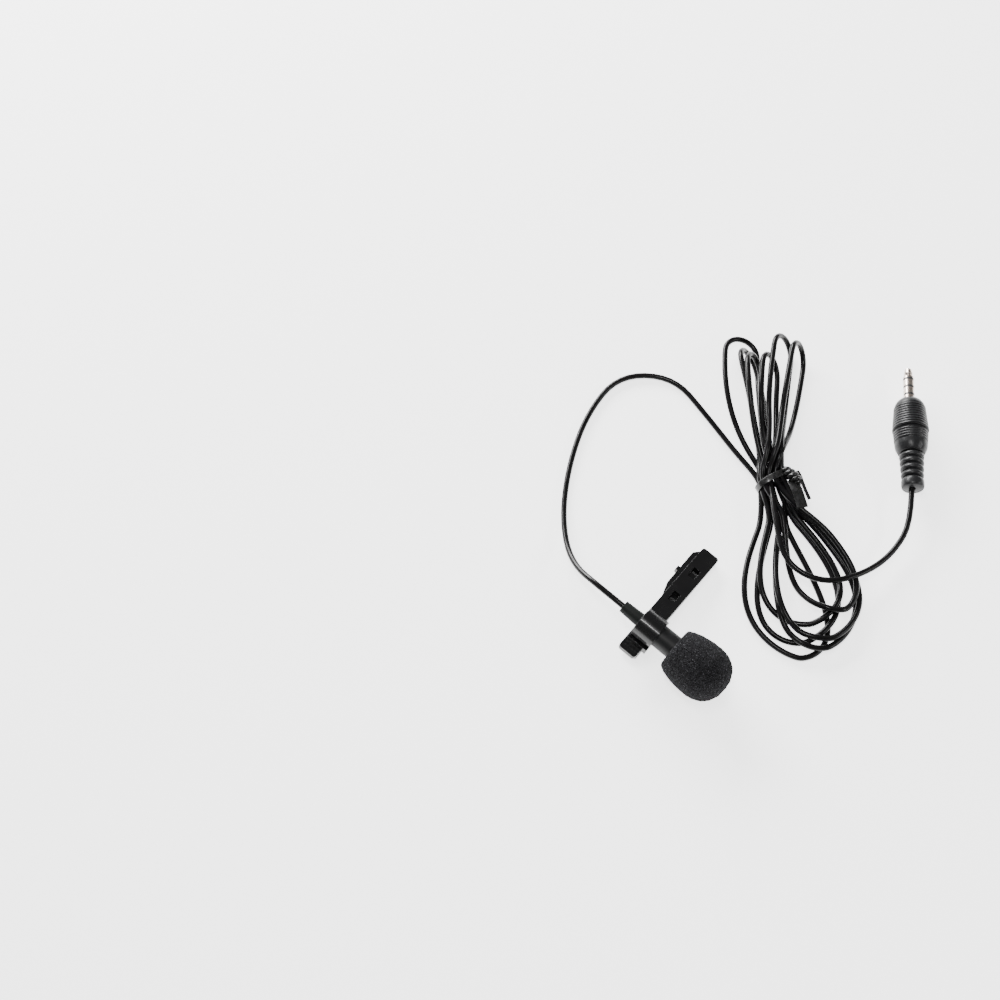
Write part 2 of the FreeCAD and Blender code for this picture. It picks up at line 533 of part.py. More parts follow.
def tie_shape():
    width, thick, span = size("dim.tie_width"), size("dim.tie_thick"), size("dim.tie_span")
    height = size("dim.hank_height")
    outer = Part.makeBox(width, span + 2 * thick, height + thick,
                         FreeCAD.Vector(-width / 2, -span / 2 - thick, 0))
    inner = Part.makeBox(width, span, height - thick, FreeCAD.Vector(-width / 2, -span / 2, thick))
    knot_long, knot_high, tail = size("dim.knot_long"), size("dim.knot_high"), size("dim.tie_tail")
    knot = Part.makeBox(width, knot_long, knot_high,
                        FreeCAD.Vector(-width / 2, -span / 2 - knot_long, height - knot_high))
    tail = Part.makeBox(size("dim.tail_wide"), tail - knot_long + 0.2, thick,
                        FreeCAD.Vector(-width / 2, -span / 2 - tail, height - size("dim.tail_drop")))
    return outer.cut(inner).fuse([knot, tail]).removeSplitter()


twist_tie = doc.addObject("Part::Feature", "twist_tie")
twist_tie.Shape = tie_shape()
finished("twist_tie", twist_tie, FreeCAD.Placement(FreeCAD.Vector(-11.26, 58.01, 0),
                                                   FreeCAD.Rotation(FreeCAD.Vector(0, 0, 1), 137)))


# ---- check and write -----------------------------------------------------------------------------

doc.recompute()
for feature in doc.Objects:
    if "Invalid" in feature.State or "Error" in feature.State:
        raise RuntimeError("%s failed: %s" % (feature.Label, feature.State))
os.makedirs("parts", exist_ok=True)
for feature in parts:
    if feature.Shape.isNull() or not feature.Shape.isValid():
        raise RuntimeError("%s has no valid shape" % feature.Label)
    feature.Shape.exportStep("parts/%s.step" % feature.Label)
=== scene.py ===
import json
import math

import bmesh
import bpy
from mathutils import Matrix, Vector
from mathutils.geometry import interpolate_bezier


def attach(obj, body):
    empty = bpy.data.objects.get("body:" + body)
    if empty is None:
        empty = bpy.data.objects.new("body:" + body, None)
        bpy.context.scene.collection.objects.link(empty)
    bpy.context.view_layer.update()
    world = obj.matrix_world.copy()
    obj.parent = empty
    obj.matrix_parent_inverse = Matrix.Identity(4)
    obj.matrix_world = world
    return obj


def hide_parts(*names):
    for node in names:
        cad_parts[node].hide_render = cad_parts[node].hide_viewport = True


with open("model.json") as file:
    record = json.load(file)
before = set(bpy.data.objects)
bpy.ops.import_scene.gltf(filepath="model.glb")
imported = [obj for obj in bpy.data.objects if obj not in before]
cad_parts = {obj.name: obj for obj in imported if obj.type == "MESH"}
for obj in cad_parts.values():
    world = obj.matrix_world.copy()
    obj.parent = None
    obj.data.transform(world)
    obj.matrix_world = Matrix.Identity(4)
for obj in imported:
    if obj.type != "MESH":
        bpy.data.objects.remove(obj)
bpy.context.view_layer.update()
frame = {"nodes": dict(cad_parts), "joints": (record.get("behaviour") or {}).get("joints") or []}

MM = 0.001

# Camera: it stands over the open side of the lead's arc and looks down at the table between the
# microphone and an empty half of the picture.  Bearing and height are angles about that point.

TABLE_POINT = Vector((-75.96, -3.69, 0)) * MM
VIEW_BEARING = math.radians(40)
VIEW_HEIGHT = math.radians(62)
VIEW_DISTANCE = 470 * MM

towards_camera = Vector((math.sin(VIEW_BEARING) * math.cos(VIEW_HEIGHT),
                         -math.cos(VIEW_BEARING) * math.cos(VIEW_HEIGHT), math.sin(VIEW_HEIGHT)))
camera = bpy.data.objects.new("camera", bpy.data.cameras.new("camera"))
camera.data.lens = 52
camera.data.sensor_width = 36
camera.data.clip_start = 0.01
camera.location = TABLE_POINT + towards_camera * VIEW_DISTANCE
camera.rotation_euler = towards_camera.to_track_quat("Z", "Y").to_euler()
bpy.context.scene.collection.objects.link(camera)
bpy.context.scene.camera = camera


# Lead: one thin round cable in a glossy black sleeve.  It leaves the strain relief, drops to the
# table, swings round to the hank, makes six tied turns and goes over them to the plug.

CORD_DIAMETER = 1.9 * MM
CORD_RADIUS = CORD_DIAMETER / 2
MIC_RUN = [
    (-9.11, -12.86, 11.62), (-27.46, -12.86, 14.0), (-42.9, -8.6, 4.9), (-55.96, 3.56, 1.0),
    (-66.45, 20.0, 1.0), (-74.26, 39.31, 1.0), (-75.76, 58.81, 1.0), (-60.92, 70.31, 1.0),
    (-42.72, 64.77, 1.0), (-27.28, 59.25, 1.5),
]
PLUG_RUN = [
    (-3.26, 45.81, 6.6), (8.74, 33.61, 6.8), (21.74, 35.31, 6.8), (29.54, 46.31, 5.5), (32.94, 59.81, 3.4),
    (31.21, 73.91, 5.9), (18.11, 93.05, 5.9),
]
TIE_POINT = Vector((-11.26, 57.51))
TIE_BEARING = math.radians(137)      # along the hank, towards its narrow end
# reach from the tie, width across, lean and sideways sway of each turn's wide and narrow loop
WIDE_LOOPS = [(60, 25.2, -56.6, 10.0), (56, 26.1, -40.3, -4.9), (50.5, 25, -41.9, 0),
              (58.5, 26.5, -30.3, -8.5),
              (56.5, 26.6, -31.8, -4.6), (49.5, 18.4, -29.5, 0.1)]
NARROW_LOOPS = [(54.3, 11.5, 153, -17), (48.6, 6.4, 137.3, -0.4), (45.3, 5.5, 144.9, -8.5),
                (46.4, 6.6, 133.3, -5.7),
                (54.6, 7.2, 125.5, -4), (52.4, 5.6, 114, 1.5)]
NARROW_TRUE_WIDTH = 12.0             # a narrow loop stands partly on its edge
SLOT_PITCH = 1.86                    # spacing of the strands under the tie
PASS_HALF = 2.6                      # straight stretch each side of the tie
LOWEST_STRAND = 1.7                  # height of the bottom layer under the tie
LAYER_PITCH = SLOT_PITCH * 0.92
STRAND_CLEARANCE = 1.02              # in cord diameters, between strands that cross
LIFT_REACH, LIFT_SLOPE = 13, 11      # how far a lift over a crossing spreads along the cord


def tie_slot(column, level, along):
    """A strand's place under the tie, in millimetres."""
    axis = Vector((math.cos(TIE_BEARING), math.sin(TIE_BEARING)))
    across = Vector((axis.y, -axis.x))
    spot = TIE_POINT + across * (column * SLOT_PITCH) + axis * along
    return (spot.x, spot.y, LOWEST_STRAND + level * LAYER_PITCH)


def lobe_places(reach):
    """A wide loop: it runs out nearly straight, bulges late and comes round in one broad bow."""
    places = []
    for degrees in (11, 18, 26, 35, 45, 55, 64, 72, 79, 85, 90,
                    95, 101, 108, 116, 125, 135, 145, 154, 162, 169):
        turn = math.radians(degrees)
        swing = math.sin(2 * turn)
        places.append((reach * math.sin(turn) ** 0.9, -math.copysign(abs(swing) ** 1.25, swing)))
    return places


def hairpin_places(reach, width):
    """A narrow loop: two long sides joined by half a circle."""
    radius = width / 2
    side_end = reach - radius
    sides = [(share * side_end, -math.sin(math.pi / 2 * min(1, share / 0.8)))
             for share in (0.14, 0.26, 0.4, 0.54, 0.68, 0.8, 0.9)]
    bow = [(side_end + radius * math.cos(turn), math.sin(turn))
           for turn in (math.radians(degrees) for degrees in (-84, -60, -36, -12, 12, 36, 60, 84))]
    return sides + bow + [(along, -side) for along, side in reversed(sides)]


def loop_points(start, end, reach, width, lean, sway, roll_width=0):
    """Control points of one loop, from its start strand out round the far end and back.

    A loop with a roll width stands partly on its edge: that wide, and rolled until it looks narrower."""
    out = Vector((math.cos(math.radians(lean)), math.sin(math.radians(lean))))
    left = Vector((-out.y, out.x))
    true_width = max(width, roll_width)
    stand = math.sqrt(true_width * true_width - width * width)
    places = hairpin_places(reach, true_width) if roll_width else lobe_places(reach)
    side_end = reach - true_width / 2 if roll_width else reach
    points = []
    for index, (along, side) in enumerate(places):
        share = along / reach
        middle = min(along, side_end)
        ahead, aside = out, left
        if roll_width:
            ahead = (out + left * (2 * sway * middle / reach ** 2)).normalized()
            aside = Vector((-ahead.y, ahead.x))
        spot = (TIE_POINT + out * middle + left * (sway * (middle / reach) ** 2)
                + ahead * (along - middle) + aside * (side * width / 2))
        height = CORD_RADIUS / MM + (side + 1) / 2 * stand * min(1, share * 1.6)
        near = max(0, 1 - share / 0.4) ** 1.5
        strand = start if index < len(places) / 2 else end
        spot = spot.lerp(Vector(strand[:2]) + out * along, near)
        points.append((spot.x, spot.y, height * (1 - near) + strand[2] * near))
    return points


def lay_over(laid, points, held):
    """Lift the points of a new stretch so that it rests on the strands already laid."""
    clear = CORD_DIAMETER / MM * STRAND_CLEARANCE
    lifts, travelled, stations = [], 0, []
    for a, b in zip(points, points[1:]):
        a, b = Vector(a), Vector(b)
        stations.append(travelled)
        steps = max(1, round((b - a).length))
        for step in range(steps):
            spot = a.lerp(b, step / steps)
            lift = 0
            for other in laid:
                gap = math.hypot(spot.x - other[0], spot.y - other[1])
                if gap < clear and spot.z > other[2] - 2 * clear:
                    lift = max(lift, other[2] + math.sqrt(clear * clear - gap * gap) - spot.z)
            if lift:
                lifts.append((travelled + (b - a).length * step / steps, lift))
        travelled += (b - a).length
    stations.append(travelled)
    lifted = []
    for index, (point, station) in enumerate(zip(points, stations)):
        rise = 0
        if index >= held:
            for place, lift in lifts:
                rise = max(rise, lift * min(1, max(0, (LIFT_REACH - abs(place - station)) / LIFT_SLOPE)))
        lifted.append((point[0], point[1], point[2] + rise))
    return lifted


def dense(points):
    """Spots a millimetre apart along a stretch, to lay the next one on."""
    spots = []
    for a, b in zip(points, points[1:]):
        a, b = Vector(a), Vector(b)
        steps = max(1, int((b - a).length))
        spots += [tuple(a.lerp(b, step / steps)) for step in range(steps)]
    return spots


# column and layer of each strand under the tie, on its way to a wide loop and on its way back
down_slots = [(-2.3, 0), (-1.3, 0), (-2.3, 1), (-1.3, 1), (-0.3, 0), (-2.0, 2), (-0.9, 2)]
up_slots = [(1.9, 0), (0.8, 0), (1.9, 1), (0.8, 1), (1.5, 2), (0.3, 2)]
route = list(MIC_RUN)
laid = dense(MIC_RUN)
for turn, (wide, narrow) in enumerate(zip(WIDE_LOOPS, NARROW_LOOPS)):
    down, up, after = down_slots[turn], up_slots[turn], down_slots[turn + 1]
    into_wide = [tie_slot(*down, PASS_HALF), tie_slot(*down, -PASS_HALF)]
    into_narrow = [tie_slot(*up, -PASS_HALF), tie_slot(*up, PASS_HALF)]
    stretch = lay_over(laid, into_wide + loop_points(into_wide[1], into_narrow[0], *wide), 2)
    laid += dense(stretch[2:])
    back = into_narrow + loop_points(into_narrow[1], tie_slot(*after, PASS_HALF), *narrow, NARROW_TRUE_WIDTH)
    back = lay_over(laid, back, 2)
    laid += dense(back[2:])
    route += stretch + back
last = down_slots[6]
route += [tie_slot(*last, PASS_HALF), tie_slot(*last, -PASS_HALF)]
route += PLUG_RUN

lead_curve = bpy.data.curves.new("lead", "CURVE")
lead_curve.dimensions = "3D"
lead_curve.bevel_depth = 1
lead_curve.bevel_resolution = 5
lead_curve.use_fill_caps = True
lead_curve.resolution_u = 6
spline = lead_curve.splines.new("NURBS")
spline.points.add(len(route) - 1)
for point, (x, y, z) in zip(spline.points, route):
    point.co = (x * MM, y * MM, z * MM, 1)
    point.radius = CORD_RADIUS
spline.order_u = 3
spline.use_endpoint_u = True
lead = bpy.data.objects.new("lead", lead_curve)
bpy.context.scene.collection.objects.link(lead)
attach(lead, "microphone")
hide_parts("mic_lead", "cable_hank", "plug_lead")


# Lead's sleeve: smooth glossy vinyl, extruded over the cores and a little duller in places.  The two
# classes build its material and every other one below.

class Signal:
    """A shader socket in an expression: each operator adds the maths node that it needs."""

    def __init__(self, finish, socket):
        self.finish = finish
        self.socket = socket

    def maths(self, operation, first, second):
        return self.finish.node("ShaderNodeMath", {"operation": operation}, {0: first, 1: second})

    def __add__(self, other):
        return self.maths("ADD", self, other)

    def __radd__(self, other):
        return self.maths("ADD", other, self)

    def __sub__(self, other):
        return self.maths("SUBTRACT", self, other)

    def __rsub__(self, other):
        return self.maths("SUBTRACT", other, self)

    def __mul__(self, other):
        return self.maths("MULTIPLY", self, other)

    def __rmul__(self, other):
        return self.maths("MULTIPLY", other, self)


class Finish:
    """A material under way.  Constants go straight on the shader's own sockets."""

    def __init__(self, name, colour, roughness, **constants):
        self.material = bpy.data.materials.new(name)
        self.material.use_nodes = True
        self.tree = self.material.node_tree
        self.shader = self.tree.nodes["Principled BSDF"]
        self.shader.inputs["Base Color"].default_value = (*colour, 1)
        self.shader.inputs["Roughness"].default_value = roughness
        for socket, value in constants.items():
            self.shader.inputs[socket.replace("_", " ")].default_value = value

    def node(self, kind, settings, inputs, output=0):
        """One node: its settings first, then the values or links of its sockets."""
        made = self.tree.nodes.new(kind)
        for setting, value in settings.items():
            setattr(made, setting, value)
        for socket, value in inputs.items():
            if isinstance(value, Signal):
                self.tree.links.new(value.socket, made.inputs[socket])
            else:
                made.inputs[socket].default_value = value
        return Signal(self, made.outputs[output])

    def place(self, stretch=(1, 1, 1), turn=(0, 0, 0)):
        """Object coordinates, turned and then stretched."""
        spot = self.node("ShaderNodeTexCoord", {}, {}, "Object")
        turned_spot = self.node("ShaderNodeMapping", {"vector_type": "POINT"},
                                {"Vector": spot, "Rotation": turn})
        return self.node("ShaderNodeMapping", {"vector_type": "POINT"},
                         {"Vector": turned_spot, "Scale": stretch})

    def noise(self, size, detail=3, rough=0.5, spot=None):
        return self.node("ShaderNodeTexNoise", {}, {"Vector": spot or self.place(), "Scale": 1 / size,
                                                    "Detail": detail, "Roughness": rough})

    def blend(self, mask, first, second):
        """A colour between two, by a mask."""
        return self.node("ShaderNodeMix", {"data_type": "RGBA"},
                         {0: mask, 6: (*first, 1), 7: (*second, 1)}, 2)

    def ramp(self, value, low, high, first=0.0, second=1.0):
        return self.node("ShaderNodeMapRange", {"clamp": True},
                         {0: value, 1: low, 2: high, 3: first, 4: second})

    def feed(self, socket, signal):
        self.tree.links.new(signal.socket, self.shader.inputs[socket])

    def relief(self, height, depth, strength=1.0):
        bump = self.node("ShaderNodeBump", {}, {"Height": height, "Distance": depth, "Strength": strength})
        self.feed("Normal", bump)


def sleeve_finish():
    sleeve = Finish("lead_sleeve", (0.005, 0.005, 0.005), 0.2, Specular_IOR_Level=0.16)
    scuff = sleeve.noise(4 * MM, 4)
    sleeve.feed("Roughness", sleeve.ramp(scuff, 0.35, 0.75, 0.17, 0.3))
    sleeve.feed("Base Color", sleeve.blend(scuff, (0.003, 0.003, 0.0032), (0.008, 0.0075, 0.0078)))
    sleeve.relief(sleeve.noise(0.6 * MM, 2), 0.01 * MM, 0.5)
    return sleeve.material


def dress(piece, material):
    piece.data.materials.clear()
    piece.data.materials.append(material)


dress(lead, sleeve_finish())


# Tie: a plastic-covered wire, a flat black band once round the middle of the hank, twisted in a
# short knot at its side, with a wide tail and a thin one left over.

TIE_HALF_WIDTH = 1.05 * MM
TIE_THICK = 0.32 * MM
WELD = 0.002 * MM                    # vertices closer than this are one


def new_piece(name, data, body, *nodes, slot, material=None):
    """An object for a finished mesh or curve, riding on a body and standing for CAD nodes."""
    piece = bpy.data.objects.new(name, data)
    bpy.context.scene.collection.objects.link(piece)
    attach(piece, body)
    if nodes:
        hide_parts(*nodes)
    if material:
        dress(piece, material)
    return piece


def even_shading(piece):
    """Keep a bevelled piece's flat faces flat in the light."""
    weighted = piece.modifiers.new("even_shading", "WEIGHTED_NORMAL")
    weighted.keep_sharp = True
    weighted.weight = 100


def ribbon(name, points, half_width, thick, frame_matrix, closed=False):
    """A flat strip along a path drawn in a plane, made a mesh and set in its place."""
    curve = bpy.data.curves.new(name, "CURVE")
    curve.dimensions = "2D"
    curve.fill_mode = "NONE"
    strip = curve.splines.new("NURBS")
    strip.points.add(len(points) - 1)
    for point, (along, up) in zip(strip.points, points):
        point.co = (along, up, 0, 1)
    strip.use_cyclic_u = closed
    strip.order_u = 3
    strip.use_endpoint_u = not closed
    curve.resolution_u = 8
    curve.extrude = half_width - thick / 2
    curve.bevel_depth = thick / 2
    curve.bevel_resolution = 3
    holder = bpy.data.objects.new(name + "_path", curve)
    bpy.context.scene.collection.objects.link(holder)
    bpy.context.view_layer.update()
    mesh = bpy.data.meshes.new_from_object(holder.evaluated_get(bpy.context.evaluated_depsgraph_get()))
    bpy.data.objects.remove(holder)
    mesh.transform(frame_matrix)
    shape = bmesh.new()
    shape.from_mesh(mesh)
    bmesh.ops.remove_doubles(shape, verts=shape.verts, dist=WELD)
    bmesh.ops.holes_fill(shape, edges=[edge for edge in shape.edges if edge.is_boundary])
    bmesh.ops.recalc_face_normals(shape, faces=shape.faces)
    shape.to_mesh(mesh)
    shape.free()
    mesh.shade_smooth()
    return mesh


def plane_at(origin, across, up):
    """The matrix that takes a flat drawing's X and Y to two directions from an origin."""
    across, up = across.normalized(), up.normalized()
    normal = across.cross(up)
    matrix = Matrix((across, up, normal)).transposed().to_4x4()
    matrix.translation = origin
    return matrix


def tie_finish():
    tie = Finish("tie_plastic", (0.005, 0.005, 0.005), 0.24, Coat_Weight=0.2, Coat_Roughness=0.1)
    crease = tie.noise(1.1 * MM, 4)
    tie.feed("Roughness", tie.ramp(crease, 0.35, 0.7, 0.22, 0.42))
    tie.relief(crease, 0.12 * MM, 0.8)
    return tie.material


tie_black = tie_finish()
hank_axis = Vector((math.cos(TIE_BEARING), math.sin(TIE_BEARING), 0))
hank_across = Vector((hank_axis.y, -hank_axis.x, 0))
up_axis = Vector((0, 0, 1))


def by_tie(across, along, up):
    """A spot given in millimetres across the hank, along it and above the table."""
    return Vector((*TIE_POINT, 0)) * MM + (hank_across * across + hank_axis * along + up_axis * up) * MM


BAND_SKEW = math.radians(20)
band_across = hank_across * math.cos(BAND_SKEW) + hank_axis * math.sin(BAND_SKEW)
band_points = [(-6.3, 3.6), (-6.0, 1.0), (-4.1, 0.35), (0, 0.3), (3.6, 0.35), (5.0, 1.2), (5.2, 3.6),
               (4.3, 6.3), (1.6, 7.4), (-2.4, 7.2), (-5.2, 5.9)]
band = ribbon("tie_band", [(x * MM, z * MM) for x, z in band_points], TIE_HALF_WIDTH, TIE_THICK,
              plane_at(by_tie(0, 0, 0), band_across, up_axis), closed=True)
band_piece = new_piece("tie_band", band, "microphone", "twist_tie", slot="tie", material=tie_black)

TWIST_STEPS = 18
TWIST_TURN = 0.85                    # radians a strand turns at each step
TWIST_RADIUS = 0.8 * MM
TWIST_REACH, TWIST_SWELL = 0.4, 1.0  # from the knot's line at its ends, and how much more in its middle
knot_start, knot_end = by_tie(3.3, 2.2, 6.7), by_tie(7.5, -3.2, 6.4)
knot_way = (knot_end - knot_start).normalized()
knot_side = knot_way.cross(up_axis).normalized()
knot_top = knot_side.cross(knot_way)
for strand in range(2):
    twist = bpy.data.curves.new("tie_twist_%d" % strand, "CURVE")
    twist.dimensions = "3D"
    twist.bevel_depth = 1
    twist.bevel_resolution = 4
    twist.use_fill_caps = True
    turns = twist.splines.new("NURBS")
    turns.points.add(TWIST_STEPS - 1)
    for step, point in enumerate(turns.points):
        angle = math.pi * strand + step * TWIST_TURN
        swell = math.sin(math.pi * (step + 1.5) / (TWIST_STEPS + 2))
        spot = (knot_start.lerp(knot_end, step / (TWIST_STEPS - 1))
                + (knot_side * math.cos(angle) + knot_top * math.sin(angle))
                * (TWIST_REACH + TWIST_SWELL * swell) * MM)
        point.co = (*spot, 1)
        point.radius = TWIST_RADIUS
    turns.order_u = 3
    turns.use_endpoint_u = True
    new_piece("tie_twist_%d" % strand, twist, "microphone", slot="tie",
                                  material=tie_black)

tail_way = hank_across * 0.08 - hank_axis
wide_tail = [(-1.4, -0.4), (0.8, 0.1), (3.4, 0.5), (6.4, 0.4), (9.2, 0.2)]
tail = ribbon("tie_tail", [(x * MM, z * MM) for x, z in wide_tail], 1.8 * MM, TIE_THICK,
              plane_at(by_tie(5.5, -3.4, 6.7), tail_way, up_axis))
tail_piece = new_piece("tie_tail", tail, "microphone", slot="tie", material=tie_black)
thin_tail = [(-1.0, 0.6), (0.8, 1.2), (3.0, 0.7), (6.2, 0.1), (9.6, 0.2)]
thin = ribbon("tie_thin_tail", [(x * MM, z * MM) for x, z in thin_tail], 0.6 * MM, TIE_THICK,
              plane_at(by_tie(7.7, 0.0, 5.9), hank_across * 0.17 - hank_axis, up_axis))
thin_piece = new_piece("tie_thin_tail", thin, "microphone", slot="tie", material=tie_black)


# Head: everything on the barrel is made about the barrel's own line, with X towards the windscreen,
# Y towards the clip's jaws and the origin at the middle of the clip's ring, then set in its place.

HEAD_TILT = math.radians(7.4)
HEAD_SLOPE = math.radians(-6.13)
joints = {joint["name"]: joint for joint in frame["joints"]}
ring_centre = Vector(joints["clip_turn"]["pos_m"])
HEAD_POSE = (Matrix.Translation(ring_centre) @ Matrix.Rotation(HEAD_TILT, 4, "Y")
             @ Matrix.Rotation(HEAD_SLOPE, 4, "X"))


def lathe(name, outline, steps, pose):
    """Spin an outline of (along, radius) millimetres about X and set it in its place."""
    shape = bmesh.new()
    ring = [shape.verts.new((along * MM, radius * MM, 0)) for along, radius in outline]
    edges = [shape.edges.new(pair) for pair in zip(ring, ring[1:])]
    if outline[0][1] > 0 and outline[-1][1] > 0:
        edges.append(shape.edges.new((ring[-1], ring[0])))
    bmesh.ops.spin(shape, geom=ring + edges, cent=(0, 0, 0), axis=(1, 0, 0), dvec=(0, 0, 0),
                   angle=math.tau, steps=steps, use_merge=True)
    bmesh.ops.remove_doubles(shape, verts=shape.verts, dist=WELD)
    bmesh.ops.recalc_face_normals(shape, faces=shape.faces)
    mesh = bpy.data.meshes.new(name)
    shape.to_mesh(mesh)
    shape.free()
    mesh.transform(pose)
    mesh.shade_smooth()
    return mesh


def softened(node, width, segments=2, angle=25):
    """A welded copy of a CAD node with its sharp edges rounded over."""
    shape = bmesh.new()
    shape.from_mesh(frame["nodes"][node].data)
    bmesh.ops.remove_doubles(shape, verts=shape.verts, dist=0.004 * MM)
    bmesh.ops.dissolve_limit(shape, angle_limit=math.radians(2), verts=shape.verts, edges=shape.edges)
    sharp = [edge for edge in shape.edges
             if len(edge.link_faces) == 2 and edge.calc_face_angle(0) > math.radians(angle)]
    bmesh.ops.bevel(shape, geom=sharp, offset=width * MM, offset_type="OFFSET", segments=segments,
                    profile=0.5, affect="EDGES", clamp_overlap=True, material=-1)
    bmesh.ops.remove_doubles(shape, verts=shape.verts, dist=WELD)
    mesh = bpy.data.meshes.new(node + "_soft")
    shape.to_mesh(mesh)
    shape.free()
    mesh.shade_smooth()
    mesh.set_sharp_from_angle(angle=math.radians(35))
    return mesh


# Windscreen: open-cell foam moulded to a blunt egg with a flat neck.  Its cells break the outline.

FOAM_START = 9.2


def bend(start, first, second, end, count):
    """Points along one curved stretch of an outline."""
    flat = [Vector((along, radius, 0)) for along, radius in (start, first, second, end)]
    return [(spot.x, spot.y) for spot in interpolate_bezier(*flat, count)]


def foam_finish():
    foam = Finish("windscreen_foam", (0.006, 0.006, 0.007), 0.95, Specular_IOR_Level=0.2)
    cells = foam.node("ShaderNodeTexVoronoi", {"feature": "DISTANCE_TO_EDGE"},
                      {"Vector": foam.place(), "Scale": 1 / (0.55 * MM)}, "Distance")
    walls = foam.ramp(cells, 0.02, 0.22, 1, 0)
    # Painted highlights: light grey specks mixed into the colour stand in for glints on the foam's cells.
    painted_glints = foam.ramp(foam.noise(0.32 * MM, 2), 0.6, 0.72)
    # Painted shade: the middle of each pore is coloured darker than the cell walls, as shade in the hollows.
    painted_pore_shade = foam.blend(walls, (0.0025, 0.0025, 0.003), (0.026, 0.026, 0.029))
    foam.feed("Base Color", foam.node("ShaderNodeMix", {"data_type": "RGBA"},
                                      {0: painted_glints * 0.75, 6: painted_pore_shade, 7: (0.2, 0.2, 0.215, 1)}, 2))
    foam.relief(walls + foam.noise(0.25 * MM, 3) * 0.7, 0.35 * MM, 1.0)
    return foam.material


foam_outline = [(14.6, 0), (14.6, 3.85), (0.6, 3.85), (0, 4.2)]
foam_outline += bend((0, 5.0), (0, 6.3), (0.2, 6.6), (0.9, 7.0), 8)
foam_outline += bend((0.9, 7.0), (2.6, 8.0), (6.0, 8.9), (10.4, 8.95), 30)[1:]
foam_outline += bend((10.4, 8.95), (15.4, 9.0), (19.5, 6.2), (19.45, 0), 56)[1:]
foam_mesh = lathe("windscreen", foam_outline, 190, HEAD_POSE @ Matrix.Translation((FOAM_START * MM, 0, 0)))
foam = new_piece("windscreen", foam_mesh, "windscreen", "foam_windscreen", slot="foam",
                 material=foam_finish())
for layer, (grain, depth) in enumerate(((0.45, 0.5), (1.6, 0.25))):
    texture = bpy.data.textures.new("foam_cells_%d" % layer, "CLOUDS")
    texture.noise_scale = grain * MM
    texture.noise_depth = 2
    swell = foam.modifiers.new("cells_%d" % layer, "DISPLACE")
    swell.texture = texture
    swell.texture_coords = "LOCAL"
    swell.strength = depth * MM
    swell.mid_level = 0.6


# Barrel and grille: thin aluminium tube with a satin black anodised skin and a pressed, drilled cap.

def anodised_finish():
    skin = Finish("barrel_anodised", (0.006, 0.006, 0.0065), 0.34, Specular_IOR_Level=0.3)
    grain = skin.noise(0.12 * MM, 2)
    skin.feed("Roughness", skin.ramp(grain + skin.noise(3 * MM, 3) * 0.5, 0.4, 1.1, 0.42, 0.58))
    skin.relief(grain, 0.012 * MM, 0.6)
    return skin.material


anodised = anodised_finish()
even_shading(new_piece("barrel", softened("barrel_housing", 0.15), "microphone", "barrel_housing",
                       slot="barrel", material=anodised))
even_shading(new_piece("grille", softened("front_grille", 0.08), "microphone", "front_grille", slot="barrel",
                       material=anodised))


# Capsule and lead end: small turned, stamped and moulded parts inside the barrel.  They keep their
# CAD shapes, each with the finish of its own material.

def plain_finish(name, colour, roughness, grain=0.3, depth=0.01, **constants):
    """A finish with a fine grain that varies the gloss and the colour a little."""
    spread = 0.12
    made = Finish(name, colour, roughness, **constants)
    speckle = made.noise(grain * MM, 3)
    made.feed("Roughness", made.ramp(speckle, 0.3, 0.7, roughness - spread / 2, roughness + spread / 2))
    darker = tuple(channel * 0.8 for channel in colour)
    made.feed("Base Color", made.blend(speckle, darker, colour))
    made.relief(speckle, depth * MM, 0.6)
    return made.material


def give(material, *nodes):
    for node in nodes:
        dress(frame["nodes"][node], material)


give(plain_finish("drawn_aluminium", (0.74, 0.74, 0.76), 0.3, Metallic=1.0), "capsule_can")
give(plain_finish("capsule_brass", (0.75, 0.56, 0.27), 0.3, Metallic=1.0),
     "diaphragm_ring", "backplate", "contact_ring", "cable_crimp", "plug_crimp", "jack_solder_tag")
give(plain_finish("metallised_film", (0.62, 0.57, 0.45), 0.18, Metallic=0.7), "diaphragm", "diaphragm_spacer")
give(plain_finish("natural_plastic", (0.8, 0.79, 0.74), 0.5), "capsule_insulator")
give(plain_finish("green_mask", (0.02, 0.14, 0.05), 0.3), "capsule_circuit_board")
give(plain_finish("moulded_black", (0.02, 0.02, 0.021), 0.5), "fet_transistor", "rear_bush", "jack_core",
     "tip_insulator", "ring_insulator", "sleeve_insulator")
give(plain_finish("soft_gasket", (0.02, 0.02, 0.02), 0.75), "capsule_gasket")
give(plain_finish("black_felt", (0.035, 0.035, 0.035), 0.95, grain=0.15, depth=0.06), "dust_felt")
give(plain_finish("red_enamel", (0.45, 0.02, 0.02), 0.25), "signal_wire")
give(plain_finish("bare_copper", (0.8, 0.4, 0.24), 0.3, Metallic=1.0), "shield_wire")
give(plain_finish("spring_steel", (0.55, 0.55, 0.57), 0.28, Metallic=1.0), "hinge_pin", "torsion_spring")


# Strain relief: a soft rubber sleeve moulded on the lead, matte and slightly green.

rubber = plain_finish("relief_rubber", (0.006, 0.0078, 0.0068), 0.62, Specular_IOR_Level=0.2,
                      grain=0.2, depth=0.02)
even_shading(new_piece("strain_relief", softened("mic_strain_relief", 0.22, 3), "microphone",
                       "mic_strain_relief", slot="relief_rubber", material=rubber))


# Clip: two glossy black moulded levers.  The upper one carries the ring, the lower one the wide bill.

def gloss_finish():
    gloss = Finish("clip_gloss", (0.004, 0.004, 0.0042), 0.2, Specular_IOR_Level=0.35, Coat_Weight=0.3,
                   Coat_Roughness=0.05)
    smear = gloss.noise(5 * MM, 4)
    grain = gloss.noise(0.18 * MM, 2)
    gloss.feed("Roughness", gloss.ramp(smear + grain * 0.4, 0.4, 1.0, 0.16, 0.34))
    gloss.feed("Base Color", gloss.blend(smear, (0.003, 0.003, 0.0032), (0.006, 0.0058, 0.0062)))
    gloss.relief(grain, 0.004 * MM, 0.5)
    return gloss.material


